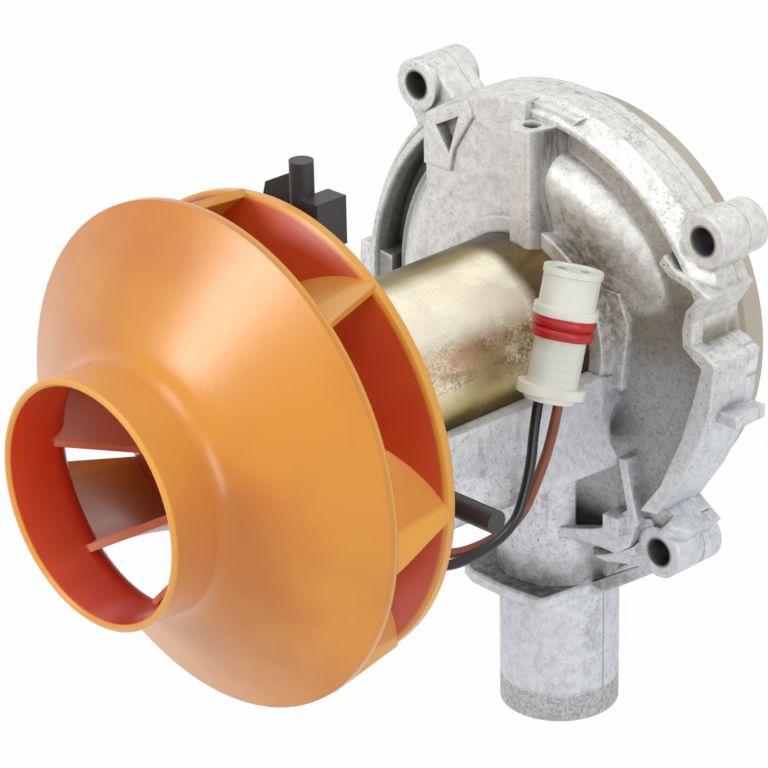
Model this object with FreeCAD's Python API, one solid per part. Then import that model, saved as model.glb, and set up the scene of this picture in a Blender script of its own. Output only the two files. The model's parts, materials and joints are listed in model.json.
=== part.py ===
import FreeCAD, Part
import math
import os

os.makedirs("parts", exist_ok=True)
V = FreeCAD.Vector

# Frame: origin on the shaft axis in the mounting plane of the four ears.
# +Z is up, the shaft lies along Y, and the large wheel's inlet looks along -Y.
# The y values below are counted from the rear face of the casting's rim,
# and every solid is moved by ear_step at the end so that the ears' faces lie at zero.

# Main sizes in millimetres
wheel_rim_r = 46.6
back_disc_inset = 2.8
back_disc_r = wheel_rim_r - back_disc_inset
collar_r = 22.8
moulding_wall = 1.4
collar_front_y = -119.5
shroud_rim_y = -92.7
back_disc_y = -75.0
blade_thickness = 1.5

can_r = 18.4
can_wall = 1.5
can_front_y = -70.0
can_rear_y = -9.05
pilot_boss_r = 9.4
shaft_r = 2.5

drum_r = 47.6
rim_inner_r = 43.8
rim_front_y = -11.4
web_front_y = -9.0
web_rear_y = -6.0
parting_y = -2.8
rim_rear_y = 0.0
ear_step = 2.0
rim_x = 1.7
rim_z = -2.65
platform_y = -12.7
chamber_r = 34.4
chamber_rear_y = 2.6
channel_centre_r = 29.3
channel_start = 46.0
channel_outlet = 10.0
channel_end = 262.0
flange_r = 44.7
pilot_r = 38.2

stub_r = 11.85
stub_bore_r = 9.6
stub_bottom_z = -83.8
foot_top_z = -53.4
foot_bottom_z = -56.0

ear_circle_r = 50.0
ear_r = 5.1
ear_hole_r = 2.65
ear_front_y = -10.0
ear_angles = (128.0, 33.4, -49.6, 216.0)

cap_r = 40.2
cap_end_y = 10.2

# Named clearances
seat_gap = 0.05
cap_gap = 0.08
chamber_gap = 0.4
air_gap = 0.6
brush_gap = 0.3


def box(x0, x1, y0, y1, z0, z1):
    return Part.makeBox(x1 - x0, y1 - y0, z1 - z0, V(x0, y0, z0))


def rod_y(r, y0, y1, x=0.0, z=0.0):
    return Part.makeCylinder(r, y1 - y0, V(x, y0, z), V(0, 1, 0))


def rod_z(r, z0, z1, x=0.0, y=0.0):
    return Part.makeCylinder(r, z1 - z0, V(x, y, z0), V(0, 0, 1))


def ring_y(r_in, r_out, y0, y1):
    return rod_y(r_out, y0, y1).cut(rod_y(r_in, y0 - 1, y1 + 1))


def revolve_y(points):
    wire = Part.makePolygon([V(r, y, 0) for r, y in points + points[:1]])
    return Part.Face(wire).revolve(V(0, 0, 0), V(0, 1, 0), 360)


def prism_y(points, y0, y1):
    wire = Part.makePolygon([V(x, y0, z) for x, z in points + points[:1]])
    return Part.Face(wire).extrude(V(0, y1 - y0, 0))


def prism_x(points, x0, x1):
    wire = Part.makePolygon([V(x0, y, z) for y, z in points + points[:1]])
    return Part.Face(wire).extrude(V(x1 - x0, 0, 0))


def turn(shape, degrees):
    """Turn about the shaft axis, positive from +X towards +Z."""
    moved = shape.copy()
    moved.rotate(V(0, 0, 0), V(0, 1, 0), -degrees)
    return moved


def polar(r, degrees):
    a = math.radians(degrees)
    return r * math.cos(a), r * math.sin(a)


def sector(r, y0, y1, start, end):
    """Wedge about the shaft axis between two angles."""
    steps = max(2, int(abs(end - start) / 30) + 1)
    points = [(0.0, 0.0)]
    for i in range(steps + 1):
        points.append(polar(r, start + (end - start) * i / steps))
    return prism_y(points, y0, y1)


def part_torus(centre_r, tube_r, y, start, end):
    """Bent round bar about the shaft axis between two angles."""
    circle = Part.Wire(Part.makeCircle(tube_r, V(centre_r, y, 0), V(0, 0, 1)))
    bend = Part.Face(circle).revolve(V(0, 0, 0), V(0, 1, 0), -(end - start))
    return turn(bend, start)


def fuse_all(shapes):
    return shapes[0].multiFuse(shapes[1:]).removeSplitter()


def cut_all(shape, tools):
    return shape.cut(Part.makeCompound(tools)) if tools else shape


def save(name, shape):
    if not shape.isValid():
        print("not valid:", name)
    print(name, "solids", len(shape.Solids), "volume", round(shape.Volume, 1))
    moved = shape.copy()
    moved.translate(V(0, -ear_step, 0))
    moved.exportStep("parts/" + name + ".step")


def value_at(points, r):
    """Height on a profile given as (radius, y) with falling radius."""
    for (r0, y0), (r1, y1) in zip(points, points[1:]):
        if r1 <= r <= r0:
            return y0 + (y1 - y0) * (r0 - r) / (r0 - r1)
    return points[-1][1]


# Large wheel, front moulding: collar and cone
cone_width = wheel_rim_r - collar_r


def cone_r(share):
    """Radius at a share of the way from the collar to the rim."""
    return collar_r + share * cone_width


shroud_outer = [
    (wheel_rim_r, shroud_rim_y),
    (cone_r(0.66), shroud_rim_y - 4.75),
    (cone_r(0.345), shroud_rim_y - 9.3),
    (cone_r(0.122), shroud_rim_y - 12.7),
    (cone_r(0.03), shroud_rim_y - 14.9),
    (collar_r, shroud_rim_y - 17.4),
]
cone_drop = 1.55
shroud_inner = [
    (wheel_rim_r, shroud_rim_y + cone_drop),
    (cone_r(0.63), shroud_rim_y - 3.45),
    (cone_r(0.315), shroud_rim_y - 7.95),
    (cone_r(0.075), shroud_rim_y - 11.7),
    (cone_r(-0.021), shroud_rim_y - 14.0),
    (collar_r - moulding_wall, shroud_rim_y - 17.0),
]


def spline(points):
    curve = Part.BSplineCurve()
    curve.interpolate([V(r, y, 0) for r, y in points])
    return curve.toShape()


def line(a, b):
    return Part.makeLine(V(a[0], a[1], 0), V(b[0], b[1], 0))


collar_in = collar_r - moulding_wall
lip = 0.45
shroud_edges = [
    spline(shroud_outer),
    line(shroud_outer[-1], (collar_r, collar_front_y + lip)),
    line((collar_r, collar_front_y + lip), (collar_r - lip, collar_front_y)),
    line((collar_r - lip, collar_front_y), (collar_in + lip, collar_front_y)),
    line((collar_in + lip, collar_front_y), (collar_in, collar_front_y + lip)),
    line((collar_in, collar_front_y + lip), shroud_inner[-1]),
    spline(shroud_inner),
    line(shroud_inner[0], shroud_outer[0]),
]
shroud_face = Part.Face(Part.Wire(Part.__sortEdges__(shroud_edges)))
shroud = shroud_face.revolve(V(0, 0, 0), V(0, 1, 0), 360)
save("impeller_shroud", shroud)

# Large wheel, rear moulding: hub, dished back disc and swept blades
nose_y = back_disc_y - 22.4
hub_r = 6.6
hub_rear_y = back_disc_y - 7.0
disc_front = [
    (back_disc_r, back_disc_y - 1.55),
    (back_disc_r * 0.8, back_disc_y - 6.0),
    (back_disc_r * 0.594, back_disc_y - 11.0),
    (back_disc_r * 0.388, back_disc_y - 15.6),
    (back_disc_r * 0.262, back_disc_y - 18.4),
    (hub_r + 1.6, back_disc_y - 19.8),
    (hub_r, nose_y + 1.2),
]
disc_rear = [
    (back_disc_r, back_disc_y),
    (back_disc_r - 1.6, back_disc_y),
    (back_disc_r * 0.785, back_disc_y - 4.2),
    (back_disc_r * 0.58, back_disc_y - 9.2),
    (back_disc_r * 0.374, back_disc_y - 13.8),
    (hub_r + 0.8, back_disc_y - 17.4),
    (hub_r + 0.8, hub_rear_y),
    (shaft_r, hub_rear_y),
]
disc_points = disc_front + [(hub_r - 1.4, nose_y), (shaft_r, nose_y)] + disc_rear[::-1]
wheel_hub = revolve_y(disc_points)

blade_tips = (52.5, 97.3, 150.0, 206.0, 257.0, 312.3, 356.5)
disc_sweep = 44.0
blade_root_r = 12.5
shroud_lead = -5.5
shroud_sweep = 30.5
stations = 7
blade_skin = 0.5


def blade_lines(s, tip):
    """Points of the blade's middle surface on the back disc and on the cone."""
    r_disc = back_disc_r - 0.1 - s * (back_disc_r - blade_root_r)
    r_cone = wheel_rim_r - 0.25 - s * (wheel_rim_r - collar_in - 0.1)
    y_disc = value_at(disc_front, r_disc) + blade_skin
    y_cone = value_at(shroud_inner, r_cone) - blade_skin
    a_disc = tip + disc_sweep * s ** 0.8
    a_cone = tip + shroud_lead + shroud_sweep * s ** 0.9
    xd, zd = polar(r_disc, a_disc)
    xc, zc = polar(r_cone, a_cone)
    return V(xd, y_disc, zd), V(xc, y_cone, zc)


def blade_section(s, tip):
    """One twisted cross-section, a flat four-sided outline of even thickness."""
    low, high = blade_lines(s, tip)
    step = 0.02
    low_next, high_next = blade_lines(min(1.0, s + step), tip)
    low_back, high_back = blade_lines(max(0.0, s - step), tip)
    flow = (low_next - low_back) + (high_next - high_back)
    normal = flow.cross(high - low).normalize() * (blade_thickness / 2)
    points = [low + normal, high + normal, high - normal, low - normal]
    return Part.makePolygon(points + points[:1])


blades = []
for tip in blade_tips:
    sections = [blade_section(i / (stations - 1.0), tip) for i in range(stations)]
    blades.append(Part.makeLoft(sections, True, False))
wheel = wheel_hub.multiFuse(blades)
wheel = wheel.cut(shroud)
wheel = wheel.common(rod_y(wheel_rim_r, nose_y - 12, back_disc_y + 1))
wheel = wheel.cut(rod_y(shaft_r, nose_y - 20, back_disc_y + 1))
save("impeller_wheel", wheel)

# Push-on clip at the nose of the large wheel
clip = ring_y(shaft_r, 5.0, nose_y - 0.8, nose_y)
for k in range(6):
    clip = clip.cut(turn(box(3.2, 5.6, nose_y - 2, nose_y + 1, -0.45, 0.45), 60 * k))
save("impeller_clip", clip)

# Motor can with drawn rear pilot boss
bearing_r = 8.0
bearing_width = 5.0
rear_bearing_y = -8.0
can = revolve_y([
    (can_r - 0.5, can_front_y), (can_r, can_front_y + 0.5),
    (can_r, can_rear_y - 1.0), (can_r - 1.0, can_rear_y),
    (pilot_boss_r, can_rear_y), (pilot_boss_r, web_rear_y - 0.6),
    (4.2, web_rear_y - 0.6), (4.2, web_rear_y - 1.8),
    (bearing_r + seat_gap, web_rear_y - 1.8), (bearing_r + seat_gap, can_rear_y - can_wall),
    (can_r - can_wall, can_rear_y - can_wall), (can_r - can_wall, can_front_y),
])
save("motor_can", can)

# Magnet arcs
magnet_out = can_r - can_wall - 0.05
magnet_in = 14.0
magnet_span = 132.0
magnet_y = (-62.0, -24.0)
magnet_ring = ring_y(magnet_in, magnet_out, magnet_y[0], magnet_y[1])
for name, middle in (("magnet_left", 180.0), ("magnet_right", 0.0)):
    wedge = sector(30, magnet_y[0], magnet_y[1], middle - magnet_span / 2, middle + magnet_span / 2)
    save(name, magnet_ring.common(wedge))

# Front end plate with bearing seat
plate_r = can_r - can_wall - 0.05
plate_y = can_front_y + 0.6
end_plate = revolve_y([
    (3.4, plate_y - 1.6), (bearing_r + 1.4, plate_y - 1.6), (bearing_r + 1.4, plate_y),
    (plate_r, plate_y), (plate_r, plate_y + 1.8), (bearing_r + 1.4, plate_y + 1.8),
    (bearing_r + 1.4, plate_y + 4.4), (bearing_r + seat_gap, plate_y + 4.4),
    (bearing_r + seat_gap, plate_y - 0.6), (3.4, plate_y - 0.6),
])
front_bearing_y = plate_y - 0.6
for k in range(3):
    x, z = polar(13.2, 90 + 120 * k)
    end_plate = end_plate.cut(rod_y(1.6, plate_y - 1, plate_y + 3, x, z))
save("front_end_plate", end_plate)

# Shielded bearings, each an outer and an inner ring
inner_ring_r = 4.3
for name, y0 in (("front", front_bearing_y), ("rear", web_rear_y - 1.8 - bearing_width)):
    y1 = y0 + bearing_width
    outer = revolve_y([
        (bearing_r, y0 + 0.3), (bearing_r, y1 - 0.3), (bearing_r - 0.3, y1),
        (inner_ring_r + 0.35, y1), (inner_ring_r + 0.35, y1 - 0.6), (6.4, y1 - 0.6),
        (6.4, y0 + 0.6), (inner_ring_r + 0.35, y0 + 0.6), (inner_ring_r + 0.35, y0),
        (bearing_r - 0.3, y0),
    ])
    inner = ring_y(shaft_r, inner_ring_r, y0, y1)
    save("bearing_" + name + "_outer", outer)
    save("bearing_" + name + "_inner", inner)

# Shaft
shaft_rear_y = 3.4
shaft = revolve_y([
    (0, nose_y - 2.4), (shaft_r - 0.5, nose_y - 2.4), (shaft_r, nose_y - 1.9),
    (shaft_r, shaft_rear_y - 0.5), (shaft_r - 0.5, shaft_rear_y), (0, shaft_rear_y),
])
save("shaft", shaft)

# Armature core with slots
core_r = magnet_in - air_gap
core_y = (-54.0, -26.0)
slot_count = 10
core = ring_y(shaft_r, core_r, core_y[0], core_y[1])
slots = []
for k in range(slot_count):
    slot = rod_y(2.1, core_y[0] - 1, core_y[1] + 1, 9.6, 0)
    mouth = box(10.0, core_r + 1, core_y[0] - 1, core_y[1] + 1, -0.7, 0.7)
    slots.append(turn(slot.fuse(mouth), 360.0 / slot_count * k))
core = cut_all(core, slots)
save("armature_core", core)

# Windings: slot bundles joined by rounded end turns
end_turn = 3.0
wind_parts = []
for k in range(slot_count):
    wind_parts.append(turn(rod_y(1.95, core_y[0] - 0.5, core_y[1] + 0.5, 9.6, 0), 36.0 * k))
for y0, y1 in ((core_y[0] - end_turn, core_y[0]), (core_y[1], core_y[1] + end_turn)):
    wind_parts.append(revolve_y([
        (4.2, y0 + 0.6), (5.0, y0), (11.0, y0), (12.2, y0 + 0.9), (12.2, y1 - 0.05),
        (4.2, y1 - 0.05),
    ]))
windings = fuse_all(wind_parts)
save("windings", windings)

# Commutator
comm_r = 6.0
comm_y = (-64.5, -57.6)
comm = revolve_y([
    (shaft_r, comm_y[0]), (comm_r, comm_y[0]), (comm_r, comm_y[1] - 1.2),
    (comm_r + 1.0, comm_y[1] - 1.2), (comm_r + 1.0, comm_y[1]), (shaft_r, comm_y[1]),
])
comm_slots = []
for k in range(slot_count):
    comm_slots.append(turn(box(4.8, 8, comm_y[0] - 1, comm_y[1] + 1, -0.2, 0.2), 36.0 * k + 18))
save("commutator", cut_all(comm, comm_slots))

# Brush plate with two guide boxes
brush_w = 4.0
brush_d = 5.0
brush_len = 5.4
brush_in = comm_r + brush_gap
guide_wall = 0.8
guide_gap = 0.08
guide_top = 16.2
brush_mid_y = -61.6
guide_y = (brush_mid_y - brush_d / 2 - guide_gap, brush_mid_y + brush_d / 2 + guide_gap)
plate_front = -63.6
brush_plate = ring_y(bearing_r + 2.4, plate_r, plate_front - 1.2, plate_front)
guides = []
hollows = []
half_w = brush_w / 2 + guide_gap
for side in (1, -1):
    z_low, z_high = sorted((side * (comm_r + 2.2), side * guide_top))
    guides.append(box(-half_w - guide_wall, half_w + guide_wall,
                      plate_front - 1.2, guide_y[1] + guide_wall, z_low, z_high))
    end = side * (guide_top - 0.7)
    start = side * 5.0
    low, high = sorted((start, end))
    hollows.append(box(-half_w, half_w, guide_y[0], guide_y[1], low, high))
brush_plate = fuse_all([brush_plate] + guides)
brush_plate = cut_all(brush_plate, hollows)
brush_plate = brush_plate.cut(rod_y(comm_r + 1.6, -80, -50))
save("brush_plate", brush_plate)

# Carbon brushes and their coil springs
for name, side in (("upper", 1), ("lower", -1)):
    low, high = sorted((side * brush_in, side * (brush_in + brush_len)))
    brush = box(-brush_w / 2, brush_w / 2, brush_mid_y - brush_d / 2,
                brush_mid_y + brush_d / 2, low, high)
    save("brush_" + name, brush)
    coil_low = brush_in + brush_len
    coil_high = guide_top - 0.7
    wire_r = 0.22
    coil_h = coil_high - coil_low - 2 * wire_r
    helix = Part.makeHelix(coil_h / 3.0, coil_h, 1.4)
    profile = Part.makePolygon([
        V(1.4 - wire_r, 0, -wire_r), V(1.4 + wire_r, 0, -wire_r), V(1.4 + wire_r, 0, wire_r),
        V(1.4 - wire_r, 0, wire_r), V(1.4 - wire_r, 0, -wire_r)])
    spring = Part.Wire(helix).makePipeShell([profile], True, True)
    spring.translate(V(0, brush_mid_y, coil_low + wire_r))
    if side < 0:
        spring.rotate(V(0, brush_mid_y, 0), V(0, 1, 0), 180)
    save("brush_spring_" + name, spring)

# Front casting of the combustion-air housing
def on_rim(shape):
    """Move a shape from the shaft axis to the rim's own centre."""
    moved = shape.copy()
    moved.translate(V(rim_x, 0, rim_z))
    return moved


def rim_point(r, degrees):
    x, z = polar(r, degrees)
    return x + rim_x, z + rim_z


drum = on_rim(revolve_y([
    (0, web_front_y), (rim_inner_r - 0.8, web_front_y), (rim_inner_r, rim_front_y),
    (rim_inner_r + 1.2, rim_front_y), (drum_r, -8.1), (drum_r, rim_rear_y), (0, rim_rear_y),
]))
trough = on_rim(rod_y(rim_inner_r - 0.8, -12, -5.6)).cut(rod_y(chamber_r + 2.4, -13, 0))
trough = trough.common(sector(80, -14, 0, 100, 262))
drum = drum.cut(trough)

# The rim gives way to the wavy wall on the right
wall_outer = [(33.7, -28.8), (39.4, -20.2), (43.0, -13.0), (46.0, -4.0), (47.2, 5.4), (44.4, 7.0),
              (41.6, 7.8), (41.7, 12.4), (45.4, 18.2), (46.4, 22.0)]
beyond_wall = prism_y(wall_outer + [(75.0, 22.0), (75.0, -33.6), (41.0, -33.6)], -20, 8)
below_shelf = prism_y([(3.6, -45.7), (9.7, -44.1), (15.2, -43.6), (21.9, -43.9), (27.6, -44.5),
                       (27.6, -60.0), (3.6, -60.0)], -20, 8)
solids = [drum.cut(beyond_wall).cut(below_shelf)]

# Bulge over the side channel, high and broad beside the column and fading towards the field
bulge_profile = [(36.6, 0.0), (35.6, 2.4), (33.6, 4.1), (31.0, 4.8), (28.0, 4.5), (24.6, 3.7), (20.4, 3.2)]
bulge_full_angle = 62.0
bulge_end_angle = 10.0
bulge_base_y = -5.8


def bulge_height(angle):
    """Full height beside the column, easing to nothing at the field."""
    share = min(1.0, (angle - bulge_end_angle) / (bulge_full_angle - bulge_end_angle))
    return 0.02 + 0.98 * (0.5 - 0.5 * math.cos(math.pi * share)) ** 0.8


def bulge_section(angle, height):
    points = [polar(r, angle) + (web_front_y + 0.2 - height * rise,) for r, rise in bulge_profile]
    top = [V(x, y, z) for x, z, y in points]
    curve = Part.BSplineCurve()
    curve.interpolate(top)
    xa, za = polar(bulge_profile[0][0], angle)
    xb, zb = polar(bulge_profile[-1][0], angle)
    outer, inner = V(xa, bulge_base_y, za), V(xb, bulge_base_y, zb)
    return Part.Wire([curve.toShape(), Part.makeLine(top[-1], inner), Part.makeLine(inner, outer),
                      Part.makeLine(outer, top[0])])


bulge_angles = [92.0 - (92.0 - bulge_end_angle) * i / 12 for i in range(13)]
bulge_high = Part.makeLoft([bulge_section(a, bulge_height(a)) for a in bulge_angles], True, False)
bulge_low = part_torus(channel_centre_r, 6.6, -6.2, 84, 262)
front_only = box(-60, 60, -30, -5.8, -60, 60)
solids.append(bulge_high)
solids.append(bulge_low.common(front_only))

platform = prism_y([(-25.6, -14), (3.5, -14), (3.5, 40.6), (0.6, 40.6), (0.6, 50), (-25.6, 50)],
                   platform_y, -5.8)
solids.append(platform.common(on_rim(rod_y(drum_r - 0.4, -20, 0))))
solids.append(ring_y(can_r - 2, can_r + 3.2, -14.4, -5.8))

# Slim raised ridge on the rim's bevel beside the column
crown_z = drum_r - 3.8
ridge = [(-2.5, crown_z), (3.4, crown_z + 0.5), (12.5, crown_z - 0.5), (11.2, crown_z - 1.7),
         (4.1, crown_z - 1.1), (-2.5, crown_z - 1.5)]
solids.append(prism_y(ridge, -10.8, -5.8))

# Raised land with a three-sided pocket at the root of the upper left ear
land = [(-25.6, 26.0), (-25.6, 34.0), (-20.6, 38.4), (-14.2, 41.4), (-12.6, 38.4), (-17.6, 30.6),
        (-18.6, 26.0)]
solids.append(prism_y(land, platform_y - 0.6, -5.8))
land_pocket = prism_y([(-22.4, 34.4), (-16.2, 37.6), (-18.9, 29.4)], platform_y - 3, platform_y + 2.0)

# Step in the rim on the left, with a rib across the trough
step_points = [rim_point(40.0, 173.0), rim_point(drum_r + 1.2, 173.0), rim_point(drum_r + 1.2, 178.0),
               rim_point(drum_r + 1.2, 183.0), rim_point(40.0, 183.0)]
solids.append(prism_y(step_points, -10.4, rim_rear_y))

# Upright column with its tapped hole
column_top = 41.0
column_foot = can_r - 2.0
hole_x = 3.3
hole_y = -13.7
column_points = [(0.8, -17.2), (4.8, -17.2), (5.4, -16.6), (6.6, -13.2), (8.8, -5.8), (-3.2, -5.8),
                 (-1.8, -12.6)]
column_wire = Part.makePolygon([V(x, y, column_foot) for x, y in column_points + column_points[:1]])
column = Part.Face(column_wire).extrude(V(0, 0, column_top - column_foot))
solids.append(column)

# Cradle under the motor, widening to the rear
cradle_front_y = -60.0


cradle_floor_z = -21.4


def cradle_section(y, side, top, corner, flare, foot):
    """Trough section: upright sides that step out to a ledge on each side."""
    half = [(side, top), (side + 0.2, corner), (flare, foot), (flare, foot - 1.6),
            (flare - 7.5, cradle_floor_z)]
    points = [(-x, z) for x, z in half] + half[::-1]
    return Part.makePolygon([V(x, y, z) for x, z in points + points[:1]])


cradle_front = cradle_section(cradle_front_y, 20.8, -3.2, -12.0, 24.6, -17.0)
cradle_full = cradle_section(-15.0, 22.4, -3.6, -13.6, 26.2, -18.4)
cradle_end = cradle_section(-9.8, 21.0, -5.0, -10.5, 18.4, -17.4)
cradle_root = cradle_section(-5.8, 21.0, -5.0, -10.5, 18.4, -17.4)
cradle = Part.makeLoft([cradle_front, cradle_full], True, True)
cradle = cradle.fuse(Part.makeLoft([cradle_full, cradle_end], True, True))
cradle = cradle.fuse(Part.makeLoft([cradle_end, cradle_root], True, True))
solids.append(cradle)

# Intake neck, foot plate and stub, front half
neck_swell = 0.5
neck = rod_z(stub_r, stub_bottom_z, foot_top_z, 0, parting_y)
neck = neck.fuse(rod_z(stub_r + neck_swell, foot_bottom_z, -20.0, 0, parting_y))
foot_points = [(-13.2, -14.4), (-12.2, -17.0), (-8.6, -18.6), (0.5, -19.0), (9.6, -18.0), (11.8, -3.0),
               (11.8, 11.0), (-12.8, 11.0)]
foot_wire = Part.makePolygon([V(x, y, foot_bottom_z) for x, y in foot_points + foot_points[:1]])
foot = Part.Face(foot_wire).extrude(V(0, 0, foot_top_z - foot_bottom_z))
front_half = box(-60, 60, -60, parting_y, -90, 60)
rear_half = box(-60, 60, parting_y, 60, -90, 60)
neck_roof_z = -46.6
neck_wall = 1.8
above_roof = prism_x([(rim_rear_y, neck_roof_z), (12.0, neck_roof_z - 6.6), (40, neck_roof_z - 6.6),
                      (40, 0), (rim_rear_y, 0)], -30, 30)
inner_roof = prism_x([(rim_rear_y - neck_wall, neck_roof_z - 2.0), (10.4, neck_roof_z - 9.0),
                      (40, neck_roof_z - 9.0), (40, 0), (rim_rear_y - neck_wall, 0)], -30, 30)
neck_all = neck.cut(above_roof).fuse(foot)
duct = rod_z(stub_bore_r - neck_swell, stub_bottom_z - 1, -31.0, 0, parting_y).cut(inner_roof)
duct = duct.fuse(rod_z(stub_bore_r, stub_bottom_z - 1, foot_top_z, 0, parting_y))
solids.append(neck_all.common(front_half))

# Raised wall round the bare field on the right
wall_inner = [(33.4, 21.6), (35.8, 19.8), (39.8, 18.9), (43.0, 17.8), (40.0, 14.2), (39.1, 10.4),
              (39.4, 7.0), (42.2, 5.0), (43.9, 4.0), (41.8, -4.1), (39.4, -11.7), (34.5, -22.6),
              (29.6, -29.4)]
wall_top = [(41.0, 20.4), (36.8, 21.6), (34.6, 23.6)]
field_wall = prism_y(wall_inner + wall_outer[:-1] + wall_top, -12.2, rim_rear_y)
solids.append(field_wall)
solids.append(prism_y([(12, -8), (23.2, -7.4), (24.8, 6.0), (22.4, 12), (12, 12)], -10.8, -5.8))

# Shelf and small square boss towards the low ear
shelf = [(7.1, -40.8), (10.5, -40.1), (17.3, -37.8), (21.3, -35.8), (24.2, -32.2), (26.4, -30.4),
         (28.2, -33.0), (26.6, -38.4), (23.0, -41.0), (18.7, -40.9), (13.2, -41.5), (7.1, -43.1)]
solids.append(prism_y(shelf, -11.8, rim_rear_y))
shelf_root = [(20.0, -42.4), (24.0, -34.0), (30.0, -32.0), (36.0, -40.0), (31.0, -43.2), (24.0, -42.8)]
solids.append(prism_y(shelf_root, -9.8, rim_rear_y))
solids.append(prism_y([(23.6, -20.6), (25.4, -20.6), (28.6, -33.2), (26.8, -34.4)], -11.8, -5.8))
solids.append(box(21.4, 25.2, -13.6, -8.6, -36.4, -32.4))

# Thin strut from the foot plate to the low ear
strut = [(10.4, -55.6), (10.6, -53.6), (12.6, -53.0), (24.6, -45.2), (30.0, -40.6), (31.4, -43.0),
         (26.0, -46.8), (13.4, -55.6)]
solids.append(prism_y(strut, -6.4, parting_y))

# Locating bar on the outer wall
solids.append(box(drum_r - 4.0, drum_r + 2.2, -9.0, -1.2, -7.2, -4.8))

# Ears
for angle in ear_angles:
    x, z = polar(ear_circle_r, angle)
    solids.append(rod_y(ear_r, ear_front_y, ear_step, x, z))
    a = math.radians(angle)
    tx, tz = -math.sin(a), math.cos(a)
    ix, iz = polar(41.5, angle)
    web = [(x + ear_r * tx, z + ear_r * tz), (ix + 6.6 * tx, iz + 6.6 * tz),
           (ix - 6.6 * tx, iz - 6.6 * tz), (x - ear_r * tx, z - ear_r * tz)]
    solids.append(prism_y(web, -8.6, rim_rear_y))

# Screw bosses inside the rim
screw_circle_r = 41.9
screw_angles = (46.0, 112.0, 190.0, 238.0, -60.0)
screw_tip_y = -7.6
screw_r = 1.6
screw_head_r = 2.4
for angle in screw_angles:
    x, z = rim_point(screw_circle_r, angle)
    solids.append(rod_y(3.4, web_front_y + 0.4, -5.0, x, z))

front = solids[0].multiFuse(solids[1:])
flange_room = on_rim(rod_y(flange_r + 0.2, parting_y, ear_step + 1))
flange_cutters = []
for angle in ear_angles:
    x, z = polar(ear_circle_r, angle)
    flange_room = flange_room.cut(rod_y(ear_r, parting_y - 1, ear_step + 2, x, z))
    flange_cutters.append(rod_y(ear_r + 0.2, parting_y - 1, ear_step + 2, x, z))
cuts = [
    flange_room,
    land_pocket,
    rod_y(chamber_r, web_rear_y, rim_rear_y),
    rod_y(can_r + seat_gap, -80, can_rear_y + 0.05),
    rod_y(pilot_boss_r + seat_gap, -20, 0),
    duct,
    box(-12.4, 12.4, parting_y, 5, -90, -40),
    part_torus(channel_centre_r, 4.6, web_rear_y, channel_start, channel_end),
    rod_z(1.7, column_top - 10, column_top + 1, hole_x, hole_y),
    box(-40, 40, -80, -14.4, -3.0, 10).common(rod_y(30, -80, -14.4)),
]
for angle in ear_angles:
    x, z = polar(ear_circle_r, angle)
    cuts.append(rod_y(ear_hole_r, ear_front_y - 4, ear_step + 1, x, z))
    cuts.append(rod_y(ear_r - 0.1, ear_front_y - 6, ear_front_y, x, z))
for angle in screw_angles:
    x, z = rim_point(screw_circle_r, angle)
    cuts.append(rod_y(screw_r, screw_tip_y - 0.2, 0, x, z))
front = cut_all(front, cuts)
save("front_housing", front)

# Rear casting: flange, pilot drum, half channel and rear half of the stub
flange = cut_all(on_rim(rod_y(flange_r, parting_y, rim_rear_y)), flange_cutters + [beyond_wall, below_shelf])
rear_solids = [
    flange,
    rod_y(pilot_r, parting_y, 5.2),
    part_torus(channel_centre_r, 5.6, 2.6, 6, 264).common(box(-60, 60, 0, 30, -60, 60)),
    rod_y(9.0, 2.6, 6.4),
]
neck_rear = neck_all.common(rear_half)
rear_solids.append(neck_rear)
rear = rear_solids[0].multiFuse(rear_solids[1:])
rear_cuts = [
    rod_y(chamber_r, parting_y - 1, chamber_rear_y),
    part_torus(channel_centre_r, 4.0, chamber_rear_y, channel_outlet, channel_end),
    duct,
    rod_y(5.2, 0, 5.0),
    ring_y(26.2, 32.4, 0, 12).common(sector(60, 0, 12, 12, 34)),
    ring_y(35.6, 37.0, parting_y - 1, parting_y + 0.8),
]
for angle in screw_angles:
    x, z = rim_point(screw_circle_r, angle)
    rear_cuts.append(rod_y(screw_r + 0.2, parting_y - 1, 1, x, z))
    rear_cuts.append(Part.makeCone(screw_r + 0.2, screw_head_r + 0.1, 1.1,
                                   V(x, rim_rear_y - 1.1, z), V(0, 1, 0)))
rear = cut_all(rear, rear_cuts)
save("rear_housing", rear)

# Ring gasket in its groove
save("housing_gasket", ring_y(35.7, 36.9, parting_y, parting_y + 0.75))

# Countersunk screws
screws = []
for angle in screw_angles:
    x, z = rim_point(screw_circle_r, angle)
    shank = rod_y(screw_r - 0.05, screw_tip_y, rim_rear_y - 1.05, x, z)
    head = Part.makeCone(screw_r - 0.05, screw_head_r, 1.05, V(x, rim_rear_y - 1.1, z), V(0, 1, 0))
    slot = box(x - 1.5, x + 1.5, rim_rear_y - 0.6, rim_rear_y, z - 0.3, z + 0.3)
    cross = box(x - 0.3, x + 0.3, rim_rear_y - 0.6, rim_rear_y, z - 1.5, z + 1.5)
    screws.append(shank.fuse(head).cut(slot).cut(cross))
save("housing_screws", Part.makeCompound(screws))

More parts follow.
